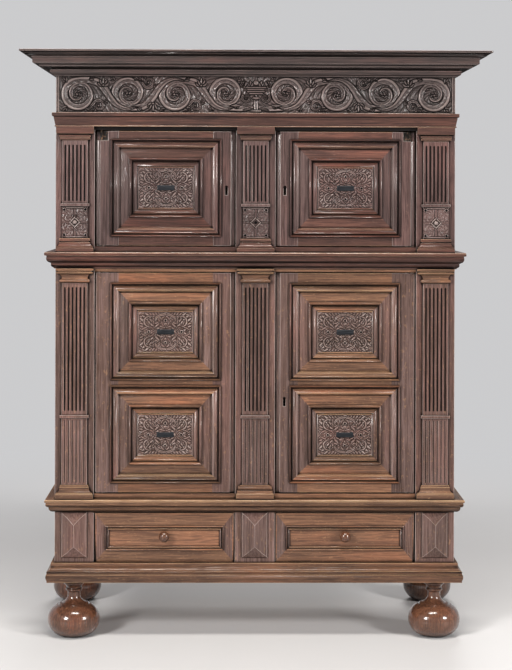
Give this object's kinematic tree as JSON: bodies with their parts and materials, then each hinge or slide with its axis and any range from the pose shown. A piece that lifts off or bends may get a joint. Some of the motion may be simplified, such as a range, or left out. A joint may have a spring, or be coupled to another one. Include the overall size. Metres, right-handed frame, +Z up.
{
  "type": "court cupboard",
  "caption": "Tall panelled oak cupboard on turned ball feet, with doors in two stages above drawers, fluted pilasters, a carved frieze and a deep cornice.",
  "frame": {"origin": "on the floor, under the middle of the whole outline", "axes": "+X to the right, +Y from the front to the back, +Z up"},
  "size_m": [1.684, 0.809, 2.123],
  "materials": {
    "upper_oak": "dark reddish oak, waxed",
    "frieze_oak": "dark grey-brown oak, waxed",
    "lower_oak": "golden-brown oak, waxed",
    "inner_oak": "plain unpolished oak",
    "turned_oak": "polished turned oak",
    "ebony": "black polished wood",
    "iron": "dark worn iron"
  },
  "bodies": {
    "carcase": {"upper_front_frame": "upper_oak", "upper_sides": "upper_oak", "upper_pilaster_shafts": "upper_oak", "upper_pilaster_caps": "upper_oak", "carved_blocks": "upper_oak", "architrave_mould": "upper_oak", "waist_mould": "upper_oak", "frieze_boards": "frieze_oak", "cornice_frame": "frieze_oak", "cornice_bed_mould": "frieze_oak", "cornice_crown": "frieze_oak", "base_front_frame": "lower_oak", "base_sides": "lower_oak", "base_mould": "lower_oak", "surbase_mould": "lower_oak", "prism_blocks": "lower_oak", "lower_front_frame": "lower_oak", "lower_sides": "lower_oak", "lower_pilaster_shafts": "lower_oak", "lower_pilaster_caps": "lower_oak", "base_boards": "inner_oak", "drawer_runners": "inner_oak", "lower_boards": "inner_oak", "lower_back_boards": "inner_oak", "upper_boards": "inner_oak", "upper_back_boards": "inner_oak", "foot_front_left": "turned_oak", "foot_front_right": "turned_oak", "foot_rear_left": "turned_oak", "foot_rear_right": "turned_oak"},
    "upper_left_door": {"upper_left_door_frame": "upper_oak", "upper_left_door_mouldings": "upper_oak", "upper_left_door_panels": "upper_oak", "upper_left_door_ebony_bars": "ebony", "upper_left_door_ironwork": "iron"},
    "upper_left_door_bolt": {"upper_left_door_bolt": "iron"},
    "upper_right_door": {"upper_right_door_frame": "upper_oak", "upper_right_door_mouldings": "upper_oak", "upper_right_door_panels": "upper_oak", "upper_right_door_ebony_bars": "ebony", "upper_right_door_ironwork": "iron"},
    "upper_right_door_bolt": {"upper_right_door_bolt": "iron"},
    "lower_left_door": {"lower_left_door_frame": "lower_oak", "lower_left_door_mouldings": "lower_oak", "lower_left_door_panels": "lower_oak", "lower_left_door_ebony_bars": "ebony", "lower_left_door_ironwork": "iron"},
    "lower_left_door_button": {"lower_left_door_button": "lower_oak"},
    "lower_right_door": {"lower_right_door_frame": "lower_oak", "lower_right_door_mouldings": "lower_oak", "lower_right_door_panels": "lower_oak", "lower_right_door_ebony_bars": "ebony", "lower_right_door_ironwork": "iron"},
    "lower_right_door_bolt": {"lower_right_door_bolt": "iron"},
    "left_drawer": {"left_drawer_front": "lower_oak", "left_drawer_box": "inner_oak", "left_drawer_knob": "turned_oak"},
    "right_drawer": {"right_drawer_front": "lower_oak", "right_drawer_box": "inner_oak", "right_drawer_knob": "turned_oak"}
  },
  "joints": [
    {"name": "upper_left_door_hinge", "type": "hinge", "parent": "carcase", "child": "upper_left_door", "pos_m": [-0.557, -0.2775, 1.63], "axis": [0, 0, -1], "range_deg": [0, 100]},
    {"name": "upper_left_door_bolt_slide", "type": "slide", "parent": "upper_left_door", "child": "upper_left_door_bolt", "axis": [1, 0, 0], "range_m": [0, 0.018]},
    {"name": "upper_right_door_hinge", "type": "hinge", "parent": "carcase", "child": "upper_right_door", "pos_m": [0.557, -0.2775, 1.63], "axis": [0, 0, 1], "range_deg": [0, 100]},
    {"name": "upper_right_door_bolt_slide", "type": "slide", "parent": "upper_right_door", "child": "upper_right_door_bolt", "axis": [-1, 0, 0], "range_m": [0, 0.018]},
    {"name": "lower_left_door_hinge", "type": "hinge", "parent": "carcase", "child": "lower_left_door", "pos_m": [-0.557, -0.2775, 0.9275], "axis": [0, 0, -1], "range_deg": [0, 100]},
    {"name": "lower_left_door_button_turn", "type": "hinge", "parent": "lower_left_door", "child": "lower_left_door_button", "pos_m": [-0.1, -0.2432, 0.859], "axis": [0, 1, 0], "range_deg": [0, 90]},
    {"name": "lower_right_door_hinge", "type": "hinge", "parent": "carcase", "child": "lower_right_door", "pos_m": [0.557, -0.2775, 0.9275], "axis": [0, 0, 1], "range_deg": [0, 100]},
    {"name": "lower_right_door_bolt_slide", "type": "slide", "parent": "lower_right_door", "child": "lower_right_door_bolt", "axis": [-1, 0, 0], "range_m": [0, 0.018]},
    {"name": "left_drawer_slide", "type": "slide", "parent": "carcase", "child": "left_drawer", "axis": [0, -1, 0], "range_m": [0, 0.38]},
    {"name": "right_drawer_slide", "type": "slide", "parent": "carcase", "child": "right_drawer", "axis": [0, -1, 0], "range_m": [0, 0.38]}
  ]
}
